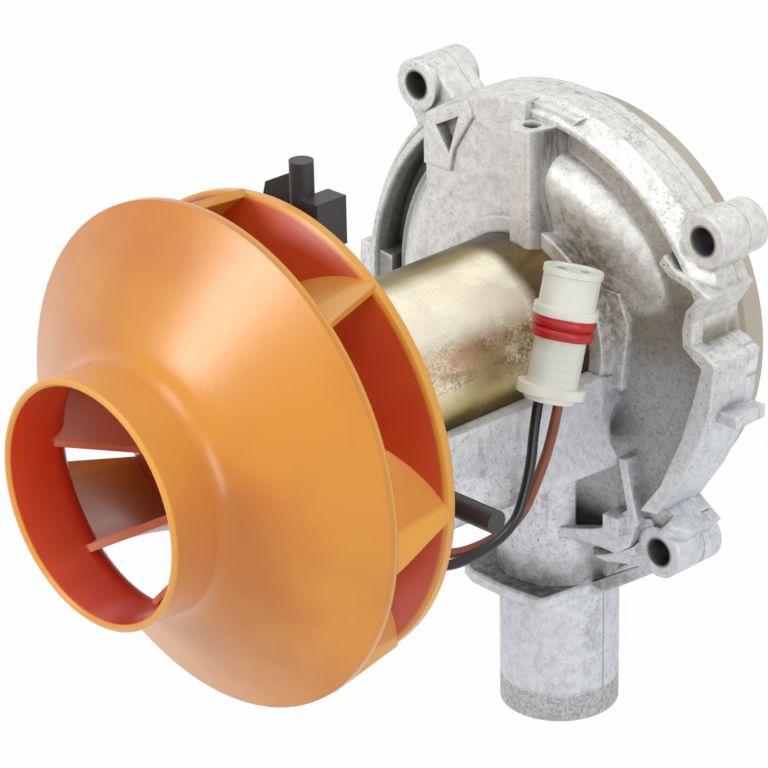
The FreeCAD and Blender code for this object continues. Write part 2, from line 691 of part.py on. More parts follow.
# Side-channel wheel with radial pockets on both faces
cw_r = chamber_r - chamber_gap
cw_y = (web_rear_y + chamber_gap, chamber_rear_y - chamber_gap)
cw = revolve_y([
    (shaft_r, cw_y[0]), (7.0, cw_y[0]), (7.0, cw_y[0] + 2.4), (24.0, cw_y[0] + 2.4),
    (24.0, cw_y[0]), (cw_r, cw_y[0]), (cw_r, cw_y[1]), (24.0, cw_y[1]),
    (24.0, cw_y[1] - 2.4), (7.0, cw_y[1] - 2.4), (7.0, cw_y[1]), (shaft_r, cw_y[1]),
])
pocket_count = 30
pockets = []
for k in range(pocket_count):
    pitch = 360.0 / pocket_count
    points = [polar(25.4, 0.30 * pitch), polar(32.6, 0.36 * pitch), polar(32.6, -0.36 * pitch),
              polar(25.4, -0.30 * pitch)]
    for y0, y1 in ((cw_y[0] - 0.5, cw_y[0] + 2.8), (cw_y[1] - 2.8, cw_y[1] + 0.5)):
        pockets.append(turn(prism_y(points, y0, y1), pitch * k))
save("channel_wheel", cut_all(cw, pockets))

# Retaining clip behind the side-channel wheel
save("channel_wheel_clip", ring_y(shaft_r, 4.4, cw_y[1], cw_y[1] + 0.7))

# Push-on rear cap
cap_in = pilot_r + cap_gap
cap = revolve_y([
    (cap_in, 0.4), (39.3, 0.4), (39.3, 4.2), (cap_r, 4.8), (cap_r, cap_end_y - 0.8),
    (cap_r - 0.8, cap_end_y), (0, cap_end_y), (0, cap_end_y - 1.3), (cap_in, cap_end_y - 1.3),
])
for r in (12.0, 22.0, 32.0):
    cap = cap.cut(ring_y(r, r + 1.6, cap_end_y - 0.4, cap_end_y + 1))
save("rear_cap", cap)

# Black cable guide clamped round the motor's front end
guide_ring_y = (-72.4, -65.4)
guide_in = can_r + 0.02
guide_out = can_r + 1.8
post_y = -68.0
post_top_z = 48.5
side_post_z = -5.4
side_post_end = 46.8
guide_parts = [ring_y(can_r - 1.6, guide_out, guide_ring_y[0], guide_ring_y[1])]
guide_parts.append(rod_z(2.2, guide_in + 0.6, post_top_z, 0, post_y))
side_post = Part.makeCylinder(2.1, side_post_end - guide_in, V(guide_in, post_y, side_post_z),
                              V(1, 0, 0))
guide_parts.append(side_post)
wing = Part.Face(Part.makePolygon([
    V(-1.0, post_y, 34.0), V(-11.0, post_y, 37.0), V(-9.6, post_y, 42.0), V(-3.0, post_y, 45.4),
    V(-1.0, post_y, 45.4), V(-1.0, post_y, 34.0)])).extrude(V(0, 2.4, 0))
guide_parts.append(wing)
guide_parts.append(box(-3.2, 3.2, post_y - 2.4, post_y + 2.4, guide_in + 0.6, 33.0))
guide_parts.append(box(1.0, 5.6, post_y - 1.8, post_y + 5.2, 33.0, 42.0))
entry_angle = -39.5
entry_out = guide_in + 2.98
entry_block = box(guide_in + 1, entry_out, -71.4, -64.6, -4.6, 4.6)
guide_parts.append(turn(entry_block, entry_angle))
cable_guide = fuse_all(guide_parts)
cable_guide = cable_guide.cut(rod_y(guide_in, -70.02, -60))
save("cable_guide", cable_guide)


# Leads: straight runs joined by tangent arcs
def cord(name, points, r):
    runs = [(b - a).Length for a, b in zip(points, points[1:])]
    pieces = []
    start = points[0]
    length = 0.0
    for i in range(1, len(points) - 1):
        before = (points[i] - points[i - 1]).normalize()
        after = (points[i + 1] - points[i]).normalize()
        angle = before.getAngle(after)
        trim = 0.45 * min(runs[i - 1], runs[i])
        radius = trim / math.tan(angle / 2)
        print(name, "bend", i, "radius", round(radius, 2), "turn", round(math.degrees(angle), 1))
        enter = points[i] - before * trim
        pieces.append(Part.makeCylinder(r, (enter - start).Length, start, before))
        length += (enter - start).Length + radius * angle
        axis = before.cross(after).normalize()
        inward = axis.cross(before).normalize()
        centre = enter + inward * radius
        disc = Part.Face(Part.Wire(Part.makeCircle(r, enter, before)))
        pieces.append(disc.revolve(centre, axis, math.degrees(angle)))
        start = points[i] + after * trim
    last = points[-1] - start
    pieces.append(Part.makeCylinder(r, last.Length, start, last))
    length += last.Length
    body = fuse_all(pieces)
    print(name, "volume over section x length", round(body.Volume / (math.pi * r * r * length), 4))
    save(name, body)


lead_r = 0.95
conn_base = V(27.8, -35.0, 0.6)
conn_axis = V(0.0, 0.264, 0.9645).normalize()
conn_side = V(0.745, 0.645, -0.176)
conn_side = (conn_side - conn_axis * conn_side.dot(conn_axis)).normalize()
conn_front = conn_axis.cross(conn_side).normalize()
lead_offset = 1.8


def out_from_guide(y, reach):
    x, z = polar(entry_out + reach, entry_angle)
    return V(x, y, z)


lead_straight = 5.0
black_end = conn_base - conn_side * lead_offset
brown_end = conn_base + conn_side * lead_offset
cord("lead_black", [
    out_from_guide(-69.4, 0.0), out_from_guide(-69.4, 15.0), V(29.2, -46.6, -23.0),
    V(28.2, -40.4, -12.4), black_end - conn_axis * lead_straight, black_end,
], lead_r)
cord("lead_brown", [
    out_from_guide(-66.4, 0.0), out_from_guide(-66.4, 12.9), V(26.7, -43.0, -24.0),
    V(28.2, -37.0, -12.0), brown_end - conn_axis * lead_straight, brown_end,
], lead_r)

# Two-way connector body, its seal and its contacts
local = FreeCAD.Matrix(
    conn_side.x, conn_front.x, conn_axis.x, conn_base.x,
    conn_side.y, conn_front.y, conn_axis.y, conn_base.y,
    conn_side.z, conn_front.z, conn_axis.z, conn_base.z, 0, 0, 0, 1)


def place(shape):
    moved = shape.copy()
    moved.Placement = FreeCAD.Placement(local)
    return moved


def oval(half_w, half_d, z0, z1):
    """Racetrack prism along local Z."""
    mid = box(-(half_w - half_d), half_w - half_d, -half_d, half_d, z0, z1)
    left = rod_z(half_d, z0, z1, -(half_w - half_d), 0)
    right = rod_z(half_d, z0, z1, half_w - half_d, 0)
    return fuse_all([mid, left, right])


conn_len = 24.4
body_parts = [
    oval(4.7, 3.9, 0.0, 11.8),
    oval(6.3, 4.0, 1.0, 2.9),
    oval(4.4, 3.2, 11.0, 16.0),
    oval(5.9, 4.6, 15.7, 17.4),
    oval(5.2, 3.95, 17.4, conn_len - 1.0),
    oval(5.45, 4.2, conn_len - 1.2, conn_len),
]
conn = fuse_all(body_parts)
conn_cuts = [oval(4.6, 3.4, conn_len - 1.2, conn_len + 1)]
contacts = []
for side in (-1, 1):
    conn_cuts.append(rod_z(1.25, 6.0, conn_len, 2.1 * side, 0))
    contact = rod_z(1.15, 6.1, conn_len - 3.0, 2.1 * side, 0)
    contacts.append(contact.cut(rod_z(0.6, conn_len - 8.0, conn_len, 2.1 * side, 0)))
save("connector_body", place(cut_all(conn, conn_cuts)))
save("connector_contacts", place(Part.makeCompound(contacts)))

# Ribbed seal round the connector's waist
seal = fuse_all([oval(5.7, 4.5, 11.8, 13.2), oval(5.2, 4.0, 13.2, 14.2), oval(5.8, 4.6, 14.2, 15.7)])
seal = seal.cut(oval(4.4, 3.2, 10.0, 17.0))
save("connector_seal", place(seal))
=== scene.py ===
import bpy
import json
import math
from mathutils import Matrix, Vector


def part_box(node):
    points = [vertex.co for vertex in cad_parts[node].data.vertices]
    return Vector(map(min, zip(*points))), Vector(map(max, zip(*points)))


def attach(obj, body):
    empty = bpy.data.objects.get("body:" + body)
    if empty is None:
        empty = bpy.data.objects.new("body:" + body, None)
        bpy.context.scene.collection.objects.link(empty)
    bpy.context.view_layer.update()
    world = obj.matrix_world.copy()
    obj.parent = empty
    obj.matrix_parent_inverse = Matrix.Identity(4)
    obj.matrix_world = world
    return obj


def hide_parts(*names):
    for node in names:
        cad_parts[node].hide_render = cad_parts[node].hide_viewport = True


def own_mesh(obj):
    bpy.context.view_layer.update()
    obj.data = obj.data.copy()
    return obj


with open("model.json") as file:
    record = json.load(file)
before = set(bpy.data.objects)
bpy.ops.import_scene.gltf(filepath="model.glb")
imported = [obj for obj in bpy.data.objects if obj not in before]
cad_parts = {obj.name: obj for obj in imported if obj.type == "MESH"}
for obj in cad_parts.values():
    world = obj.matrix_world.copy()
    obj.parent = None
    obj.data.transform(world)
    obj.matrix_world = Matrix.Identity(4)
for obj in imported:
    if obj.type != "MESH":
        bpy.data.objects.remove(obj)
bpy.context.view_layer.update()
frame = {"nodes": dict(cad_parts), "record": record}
nodes = frame["nodes"]
bpy.context.scene.view_settings.view_transform = "Standard"


# Shader maths

class Wire:
    """One shader socket that takes part in sums, products and powers."""

    def __init__(self, finish, socket):
        self.finish = finish
        self.socket = socket

    def _math(self, operation, *values):
        return self.finish.node("Math", {"operation": operation}, dict(enumerate(values)))

    def __add__(self, other):
        return self._math("ADD", self, other)

    def __sub__(self, other):
        return self._math("SUBTRACT", self, other)

    def __mul__(self, other):
        return self._math("MULTIPLY", self, other)

    def __truediv__(self, other):
        return self._math("DIVIDE", self, other)

    def __rsub__(self, other):
        return self._math("SUBTRACT", other, self)

    def __pow__(self, other):
        return self._math("POWER", self, other)

    __radd__ = __add__
    __rmul__ = __mul__

    def rise(self, low, high):
        """0 below low, 1 above high, smooth between."""
        return self.finish.node("MapRange", {"interpolation_type": "SMOOTHSTEP"},
                                {"Value": self, "From Min": low, "From Max": high})


def tone(red, green, blue):
    """A screen colour from 0 to 255 as the shader's own linear colour."""
    linear = []
    for value in (red, green, blue):
        value /= 255.0
        linear.append(value / 12.92 if value <= 0.04045 else ((value + 0.055) / 1.055) ** 2.4)
    return (*linear, 1.0)


class ShaderTree:
    """A tree of shader nodes, each made by one method."""

    def __init__(self, tree):
        self.tree = tree

    def node(self, kind, settings=None, values=None, output=0):
        made = self.tree.nodes.new("ShaderNode" + kind)
        for key, value in (settings or {}).items():
            if key == "stops":
                while len(made.color_ramp.elements) < len(value):
                    made.color_ramp.elements.new(0.5)
                for element, (place, colour) in zip(made.color_ramp.elements, value):
                    element.position = place
                    element.color = colour
            else:
                setattr(made, key, value)
        for key, value in (values or {}).items():
            self._feed(made.inputs[key], value)
        return Wire(self, made.outputs[output])

    def _feed(self, socket, value):
        if isinstance(value, Wire):
            self.tree.links.new(value.socket, socket)
        else:
            socket.default_value = value

    def shows_white(self):
        """1 for the camera and for what metal reflects, 0 for light on the object."""
        seen = self.node("LightPath", None, None, "Is Camera Ray")
        reflected = self.node("LightPath", None, None, "Is Glossy Ray")
        return self.node("Math", {"operation": "MAXIMUM"}, {0: seen, 1: reflected})


class Finish(ShaderTree):
    """One procedural material, built node by node on the piece's own coordinates."""

    def __init__(self, name, colour, roughness, **constants):
        self.material = bpy.data.materials.new(name)
        self.material.use_nodes = True
        super().__init__(self.material.node_tree)
        self.shader = self.tree.nodes["Principled BSDF"]
        self.place = self.node("TexCoord", None, None, "Object")
        self.facing = self.node("TexCoord", None, None, "Normal")
        self.set("Base Color", colour)
        self.set("Roughness", roughness)
        for socket, value in constants.items():
            self.set(socket.replace("_", " "), value)

    def set(self, socket, value):
        self._feed(self.shader.inputs[socket], value)

    def noise(self, scale, detail=3.0, roughness=0.55, place=None):
        return self.node("TexNoise", None, {"Vector": place or self.place, "Scale": scale,
                                            "Detail": detail, "Roughness": roughness})

    def stretched(self, sx, sy, sz):
        """The piece's coordinates scaled, so that a low number draws a pattern out along its axis."""
        return self.node("VectorMath", {"operation": "MULTIPLY"}, {0: self.place, 1: (sx, sy, sz)})

    def part(self, axis, vector=None):
        return self.node("SeparateXYZ", None, {0: vector or self.place}, "XYZ".index(axis))

    def above(self, axis, start, full):
        """0 below start on an axis, 1 above full."""
        return self.part(axis).rise(start, full)

    def below(self, axis, full, end):
        """1 below full on an axis, 0 above end."""
        return 1.0 - self.part(axis).rise(full, end)

    def looks_towards(self, axis, start, full):
        """1 on the faces that look along an axis."""
        return self.part(axis, self.facing).rise(start, full)

    def shaft_radius(self):
        """Distance from the shaft axis."""
        return (self.part("X") ** 2.0 + self.part("Z") ** 2.0) ** 0.5

    def within(self, full, end):
        """1 nearer to the shaft axis than full, 0 beyond end."""
        return 1.0 - self.shaft_radius().rise(full, end)

    def outwardness(self):
        """How far a face looks away from the shaft axis, times its radius."""
        return (self.part("X") * self.part("X", self.facing)
                + self.part("Z") * self.part("Z", self.facing))

    def mix(self, factor, first, second):
        """The first colour where the factor is 0, the second where it is 1."""
        return self.node("Mix", {"data_type": "RGBA"}, {0: factor, 6: first, 7: second}, 2)

    def larger(self, first, second):
        return self.node("Math", {"operation": "MAXIMUM"}, {0: first, 1: second})

    def ramp(self, factor, stops):
        return self.node("ValToRGB", {"stops": stops}, {0: factor})

    def bump(self, height, distance, edge=0.0):
        """Relief of a given depth, with sharp edges rounded off to a given radius."""
        values = {"Height": height, "Distance": distance, "Strength": 1.0}
        if edge:
            values["Normal"] = self.node("Bevel", {"samples": 4}, {"Radius": edge})
        self.set("Normal", self.node("Bump", None, values))

    def corner(self, reach):
        """1 deep in the piece's own corners, 0 in the open."""
        return 1.0 - self.node("AmbientOcclusion", {"only_local": True, "samples": 4},
                               {"Distance": reach}, "AO")

    def edge(self, reach):
        """1 on the piece's outer edges, 0 on its faces."""
        return 1.0 - self.node("AmbientOcclusion", {"only_local": True, "inside": True, "samples": 4},
                               {"Distance": reach}, "AO")

    def distance(self, axes, centre):
        """Distance from a line that crosses the plane of two axes at the centre."""
        across, along = (self.part(axis) - value for axis, value in zip(axes, centre))
        return (across ** 2.0 + along ** 2.0) ** 0.5


# Finishes of the two orange mouldings

wheel_face_r = 0.0430
rim_width = 0.0009


def orange_moulding(name, inner_face, painted_rim_light, painted_shade_tones, painted_eye_light):
    """Glass-filled orange moulding: painted shade, deeper and redder, on its inner faces, a painted
    glow along its rims, and painted light near the eye when asked for.
    """
    f = Finish(name, tone(222, 142, 36), 0.36, Coat_Weight=0.5, Coat_Roughness=0.28)
    flow = f.noise(28.0, 4.0)
    fine = f.noise(900.0, 2.0)
    lit = f.mix(flow.rise(0.36, 0.66), tone(205, 119, 20), tone(219, 142, 34))
    # Painted shade: deeper, redder tones on the faces picked by inner_face, standing in for light
    # bounced between the orange faces.
    deep = f.mix(flow.rise(0.3, 0.72), *painted_shade_tones)
    body = f.mix(inner_face(f), lit, deep)
    # Painted light: a pale tone near the shaft axis, inside the eye.
    if painted_eye_light:
        body = f.mix(f.within(0.022, 0.032) * painted_eye_light, body, tone(240, 150, 112))
    # Painted glow: a bright band along the rims, for light shining through their edges.
    f.set("Base Color", f.mix(painted_rim_light(f) * 0.8, body, tone(236, 168, 62)))
    f.set("Roughness", 0.27 + 0.12 * flow + 0.06 * fine)
    f.bump(fine + 0.6 * f.noise(160.0, 2.0), 0.00003, edge=0.00035)
    return f.material


def shroud_inner_face(f):
    """1 on the faces of the cone and collar that look at the shaft axis."""
    return (0.0 - f.outwardness()).rise(0.0, 0.002)


def shroud_rims(f):
    """1 along the collar's lip and the cone's large rim."""
    collar_lip, rim = (corner.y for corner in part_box("impeller_shroud"))
    at_lip = f.below("Y", collar_lip + rim_width - 0.0005, collar_lip + rim_width)
    at_rim = f.above("Y", rim - rim_width, rim - rim_width + 0.0005)
    return at_lip + at_rim


def wheel_inner_face(f):
    """1 on the disc between the blades, less on the blades' roots."""
    looks_forward = (0.0 - f.part("Y", f.facing)).rise(0.3, 0.75)
    floor_of_disc = looks_forward * f.within(wheel_face_r - 0.0004, wheel_face_r + 0.0004)
    return f.larger(floor_of_disc, f.within(0.02, 0.04) * 0.6)


def wheel_rim(f):
    """1 on the rim outside the blades."""
    return f.shaft_radius().rise(wheel_face_r - 0.0002, wheel_face_r + 0.0006)


# Finishes of the motor can and the castings

rear_band_y = -0.0245


def yellow_zinc():
    """Yellow passivated zinc: cream gold with olive and brown clouds that break up into grain, over
    painted reflections in bands round the can, cream highlights between dark olive and brown.
    """
    f = Finish("yellow_zinc", tone(226, 212, 160), 0.3, Metallic=1.0)
    grain = f.noise(1900.0, 3.0, 0.7)
    dither = 0.24 * (grain - 0.5)
    cloud = f.noise(62.0, 5.0, 0.62) + dither
    drift = f.noise(40.0, 4.0, 0.6, f.stretched(1.0, 0.55, 1.6)) + dither
    pink = f.noise(150.0, 4.0, 0.65) + dither
    round_angle = f.node("Math", {"operation": "ARCTAN2"}, {0: f.part("Z"), 1: f.part("X")})
    turn = (round_angle + math.pi) / (2 * math.pi)
    # Painted reflections: bands by the angle round the can, a cream highlight on the side in view, dark
    # olive and brown near the top and bottom.
    painted_reflection_bands = f.ramp(turn + 0.05 * (drift - 0.5), [
        (0.0, tone(188, 170, 112)), (0.15, tone(208, 192, 138)), (0.32, tone(168, 148, 90)),
        (0.455, tone(62, 54, 30)), (0.485, tone(98, 86, 48)), (0.507, tone(200, 184, 128)),
        (0.545, tone(246, 236, 210)), (0.58, tone(232, 212, 184)), (0.612, tone(253, 247, 232)),
        (0.66, tone(248, 242, 222)), (0.72, tone(246, 240, 216)), (0.752, tone(152, 138, 84)),
        (0.782, tone(108, 94, 48)), (0.86, tone(94, 82, 42)), (0.94, tone(160, 142, 88)),
        (1.0, tone(188, 170, 112))])
    mottled = turn.rise(0.50, 0.54) * (1.0 - turn.rise(0.575, 0.63))
    stain = 0.12 + 0.6 * mottled + 0.25 * f.above("Y", -0.052, -0.030)
    warm = f.mix(cloud.rise(0.48, 0.60) * stain * 0.7, painted_reflection_bands, tone(176, 146, 84))
    olive = f.mix(drift.rise(0.54, 0.64) * stain * 0.85, warm, tone(126, 104, 52))
    dappled = f.mix(pink.rise(0.50, 0.64) * (0.1 + 0.45 * mottled), olive, tone(214, 168, 150))
    # Darker brown on the can's end by the casting, from rear_band_y on.
    rear_band = (f.part("Y") + 0.004 * (drift - 0.5)).rise(rear_band_y - 0.004, rear_band_y)
    rear_tone = f.mix(cloud.rise(0.40, 0.64), tone(46, 33, 12), tone(112, 90, 44))
    f.set("Base Color", f.mix(rear_band * 0.95, dappled, rear_tone))
    f.set("Roughness", 0.22 + 0.22 * cloud + 0.12 * grain)
    f.bump(grain + 0.5 * cloud, 0.00004)
    return f.material


def fine_cast_skin():
    """Inner casting: even, finely pitted."""
    f = Finish("fine_cast_skin", tone(200, 200, 198), 0.45, Metallic=0.6)
    pits = f.noise(1100.0, 4.0, 0.75)
    f.set("Base Color", f.mix(pits.rise(0.5, 0.68), tone(200, 200, 198), tone(160, 160, 160)))
    f.set("Roughness", 0.38 + 0.16 * pits)
    f.bump(pits, 0.00004)
    return f.material


# Places on the casting, in metres

parting_y = -0.0048
field_y = -0.0112
field_r = 0.0425
trough_y = -0.0124
trough_inner_r = 0.0360
trough_outer_r = 0.0430
foot_z = -0.0510
hose_ring_z = -0.078
hose_ring_width = 0.0003
bore_r = 0.0027


def bore_shadow(f):
    """1 in the ears' bores and on the stained ring round each."""
    mask = 0.0
    for mount in frame["record"]["mounts"]:
        if mount["name"].startswith("ear_"):
            x, _, z = mount["pos_m"]
            mask = mask + (1.0 - f.distance("XZ", (x, z)).rise(bore_r, bore_r + 0.0007))
    return mask


def field_wall(f):
    """1 on the flat wall behind the bulge, on the plug's side."""
    return (f.above("Y", field_y - 0.0004, field_y) * f.within(field_r, field_r + 0.001)
            * f.above("X", -0.002, 0.004))


def pocket_over_shelf(f):
    """1 in the low corner of the field wall, between the neck and the strut, where a shadow is painted.
    """
    return f.below("Z", -0.0375, -0.0290) * f.below("X", 0.0165, 0.0225)


def bulge_beside_motor(f):
    """1 on the end of the bulge by the motor, fading up and outwards."""
    nearby = f.above("X", 0.0075, 0.0105) * f.below("Z", 0.016, 0.034) * f.above("Z", -0.004, 0.004)
    return nearby * f.above("Y", -0.0168, -0.0158) * f.within(0.026, 0.042)


def column_side(f):
    """1 on the column's side that looks at the bulge, darker towards its root, where painted shade
    falls.
    """
    beside = f.above("X", 0.0040, 0.0050) * f.below("X", 0.0080, 0.0090)
    return (f.looks_towards("X", 0.6, 0.9) * beside * f.above("Z", 0.012, 0.016)
            * f.above("Y", -0.0210, -0.0145))


def foot_corner(f):
    """1 on the neck just above the foot plate, less on the plate's top: painted shade where the two
    meet.
    """
    above_foot = (f.below("Z", foot_z - 0.001, foot_z + 0.006)
                  * f.above("Z", foot_z - 0.0035, foot_z - 0.0025))
    foot_top = f.looks_towards("Z", 0.8, 0.95) * f.below("Z", foot_z - 0.001, foot_z)
    return above_foot + 0.7 * foot_top


def rim_trough(f):
    """1 in the trough inside the rim, away from the plug's side, where painted shade darkens it."""
    ring = (f.shaft_radius().rise(trough_inner_r - 0.0008, trough_inner_r)
            * f.within(trough_outer_r, trough_outer_r + 0.0006))
    return f.above("Y", trough_y - 0.0008, trough_y) * ring * f.below("X", -0.026, -0.020)


def parting_seam(f):
    """A dark line where the two castings meet, fainter on the drum than on the foot and stub."""
    away = f.part("Y") - parting_y
    line = 1.0 - (away * away * 1e8).rise(1.2, 5.0)
    return line * (0.9 - 0.65 * f.above("Z", -0.045, -0.035))


def hose_groove(f):
    """1 along the fine ring round the stub, near its end."""
    away = (f.part("Z") - hose_ring_z) / hose_ring_width
    return 1.0 - (away * away).rise(0.1, 1.4)


def die_cast_skin():
    """Zinc casting: cool and pale, finely pitted and rubbed, with painted highlights on its edges and
    painted shade in its corners, hollows, pocket, trough and creases.
    """
    f = Finish("die_cast_skin", tone(228, 230, 233), 0.45, Metallic=0.5)
    patch = f.noise(50.0, 4.0, 0.6)
    pits = f.noise(1500.0, 4.0, 0.8)
    grain = f.noise(520.0, 5.0, 0.75)
    drag_up = f.noise(330.0, 4.0, 0.65, f.stretched(1.0, 1.0, 0.14))
    drag_across = f.noise(280.0, 4.0, 0.65, f.stretched(0.16, 1.0, 1.0))
    handled = patch.rise(0.40, 0.64)

    skin = f.mix(f.above("Z", -0.012, 0.012), tone(228, 231, 236), tone(234, 233, 228))
    skin = f.mix(grain.rise(0.40, 0.64) * 0.5, skin, tone(188, 190, 194))
    skin = f.mix(drag_up.rise(0.55, 0.7) * 0.5 * handled, skin, tone(126, 127, 130))
    skin = f.mix(drag_across.rise(0.57, 0.72) * 0.45 * handled, skin, tone(120, 120, 122))
    skin = f.mix(pits.rise(0.55, 0.66) * (0.22 + 0.6 * handled), skin, tone(92, 92, 92))

    field = field_wall(f)
    # Painted shadow: near black in the pocket over the shelf.
    painted_pocket_shadow = pocket_over_shelf(f) * field
    field_skin = f.mix(f.above("Z", -0.004, 0.008), tone(180, 180, 184), tone(164, 160, 146))
    field_skin = f.mix(f.above("Z", 0.014, 0.028), field_skin, tone(186, 183, 174))
    field_skin = f.mix(pits.rise(0.46, 0.62) * 0.5, field_skin, tone(112, 110, 106))
    skin = f.mix(field * 0.96, skin, field_skin)
    skin = f.mix(painted_pocket_shadow * 0.97, skin, tone(24, 23, 22))

    # Darker brown on the bulge's end by the motor, broken up by the grain.
    bulge_darkening = (0.4 + 0.5 * grain.rise(0.38, 0.62)) * (1.0 - 0.6 * f.above("X", 0.017, 0.026))
    skin = f.mix(bulge_beside_motor(f) * bulge_darkening, skin, tone(116, 102, 78))
    # Painted shade on the column's side, streaked.
    skin = f.mix(column_side(f) * (0.55 + 0.4 * drag_up.rise(0.4, 0.6)), skin, tone(84, 78, 66))
    # Painted shade where the neck meets the foot plate.
    skin = f.mix(foot_corner(f) * (0.42 + 0.2 * grain.rise(0.36, 0.64)), skin, tone(96, 92, 90))
    stub_stain = f.below("Z", -0.0600, -0.0570) * (patch + 0.3 * grain).rise(0.62, 0.82)
    skin = f.mix(stub_stain * 0.4, skin, tone(132, 132, 136))
    # Painted shade in the trough inside the rim.
    skin = f.mix(rim_trough(f) * 0.7, skin, tone(112, 112, 104))
    below_ring = f.below("Z", hose_ring_z - 0.0001, hose_ring_z + 0.0001)
    skin = f.mix(below_ring * (0.3 + 0.5 * pits.rise(0.45, 0.6)), skin, tone(150, 150, 147))

    # Painted shade in the piece's own corners, from how closed in each point is.
    corner = f.corner(0.011)
    painted_corner_shade = corner.rise(0.28, 0.85) * (0.5 + 0.5 * grain.rise(0.35, 0.62)) * (1.0 - 0.55 * field)
    skin = f.mix(painted_corner_shade * 0.8, skin, tone(98, 97, 92))
    # Painted shade, near black, in the deepest hollows, stronger in the pocket and weaker on the field
    # wall.
    painted_deep_shade = corner.rise(0.70, 0.95) * (0.85 - 0.5 * field + 0.5 * painted_pocket_shadow)
    skin = f.mix(painted_deep_shade, skin, tone(44, 43, 40))
    skin = f.mix(parting_seam(f), skin, tone(40, 40, 40))
    # Painted highlight along the outer edges, kept off the corners.
    painted_edge_highlight = f.edge(0.0009).rise(0.18, 0.5) * (1.0 - corner.rise(0.3, 0.7))
    skin = f.mix(painted_edge_highlight * 0.75, skin, tone(246, 247, 248))
    f.set("Base Color", f.mix(bore_shadow(f) * 0.82, skin, tone(58, 56, 54)))

    # Full metal in the pocket makes its painted shadow darker still.
    f.set("Metallic", 0.5 + 0.5 * painted_pocket_shadow)
    f.set("Roughness", 0.34 + 0.2 * patch + 0.14 * pits)
    f.bump(0.6 * pits + 1.2 * grain + 0.8 * patch - 1.2 * hose_groove(f), 0.0001, edge=0.0009)
    return f.material


# Finishes of everything else

def satin_moulding(name, light, dark, roughness, grain=700.0, depth=0.00002, **constants):
    """Moulding, rubber or wire insulation: slightly clouded, with a fine even grain."""
    f = Finish(name, light, roughness, **constants)
    cloud = f.noise(90.0, 3.0)
    fine = f.noise(grain, 2.0)
    f.set("Base Color", f.mix(cloud.rise(0.3, 0.7), light, dark))
    f.set("Roughness", roughness - 0.05 + 0.1 * cloud)
    f.bump(fine, depth, edge=0.0003)
    return f.material


def bare_metal(name, light, dark, roughness):
    """Bare or plated metal, slightly clouded, with a fine even grain."""
    f = Finish(name, light, roughness, Metallic=1.0)
    fine = f.noise(1500.0, 2.0, 0.6)
    cloud = f.noise(120.0, 3.0)
    f.set("Base Color", f.mix(cloud, light, dark))
    f.set("Roughness", roughness - 0.08 + 0.16 * fine)
    f.bump(fine, 0.00001)
    return f.material


finishes = {
    "orange_cone": orange_moulding("orange_cone_moulding", shroud_inner_face, shroud_rims,
                                   (tone(214, 56, 26), tone(222, 82, 40)), painted_eye_light=0.0),
    "orange_wheel": orange_moulding("orange_wheel_moulding", wheel_inner_face, wheel_rim,
                                    (tone(192, 52, 20), tone(204, 78, 34)), painted_eye_light=0.75),
    "zinc": yellow_zinc(),
    "casting": die_cast_skin(),
    "wheel_cast": fine_cast_skin(),
    "beige": satin_moulding("beige_moulding", tone(203, 194, 180), tone(194, 184, 168), 0.4),
    "milky": satin_moulding("milky_moulding", tone(242, 243, 235), tone(230, 232, 220), 0.35,
                            Subsurface_Weight=0.25, Subsurface_Scale=0.002),
    "black": satin_moulding("black_moulding", tone(62, 61, 62), tone(48, 47, 48), 0.42,
                            grain=1400.0, depth=0.00005),
    "dark": satin_moulding("brown_moulding", tone(62, 50, 42), tone(48, 40, 34), 0.5),
    "black_wire": satin_moulding("black_insulation", tone(26, 26, 27), tone(16, 16, 17), 0.32),
    "brown_wire": satin_moulding("brown_insulation", tone(144, 80, 56), tone(122, 68, 48), 0.36),
    "seal": satin_moulding("red_seal_rubber", tone(200, 36, 34), tone(178, 26, 26), 0.34),
    "gasket": satin_moulding("gasket_rubber", tone(30, 30, 30), tone(22, 22, 22), 0.6),
    "ferrite": satin_moulding("sintered_ferrite", tone(66, 66, 70), tone(50, 50, 54), 0.6),
    "carbon": satin_moulding("pressed_carbon", tone(40, 40, 40), tone(28, 28, 28), 0.5),
    "bearing": bare_metal("ground_steel", tone(200, 200, 200), tone(176, 176, 178), 0.25),
    "spring": bare_metal("spring_steel", tone(170, 168, 160), tone(140, 138, 132), 0.35),
    "core": bare_metal("lamination_steel", tone(120, 120, 124), tone(96, 96, 100), 0.4),
    "copper": bare_metal("enamelled_copper", tone(190, 104, 60), tone(150, 74, 40), 0.35),
    "screw": bare_metal("plated_screw", tone(190, 184, 160), tone(160, 150, 120), 0.35),
    "contact": bare_metal("tinned_contact", tone(214, 206, 180), tone(190, 178, 140), 0.3),
}
wears = {
    "impeller_shroud": "orange_cone", "impeller_wheel": "orange_wheel", "impeller_clip": "spring",
    "motor_can": "zinc", "magnet_left": "ferrite", "magnet_right": "ferrite",
    "front_end_plate": "zinc", "bearing_front_outer": "bearing", "bearing_front_inner": "bearing",
    "bearing_rear_outer": "bearing", "bearing_rear_inner": "bearing", "shaft": "bearing",
    "armature_core": "core", "windings": "copper", "commutator": "copper",
    "brush_plate": "dark", "brush_upper": "carbon", "brush_lower": "carbon",
    "brush_spring_upper": "spring", "brush_spring_lower": "spring",
    "front_housing": "casting", "rear_housing": "casting", "housing_gasket": "gasket",
    "housing_screws": "screw", "channel_wheel": "wheel_cast", "channel_wheel_clip": "spring",
    "rear_cap": "beige", "cable_guide": "black", "lead_black": "black_wire",
    "lead_brown": "brown_wire", "connector_body": "milky", "connector_contacts": "contact",
    "connector_seal": "seal",
}
for node_name, finish_name in wears.items():
    mesh = nodes[node_name].data
    mesh.materials.clear()
    mesh.materials.append(finishes[finish_name])


# Connector frame: end of the body where the leads go in, and its own directions

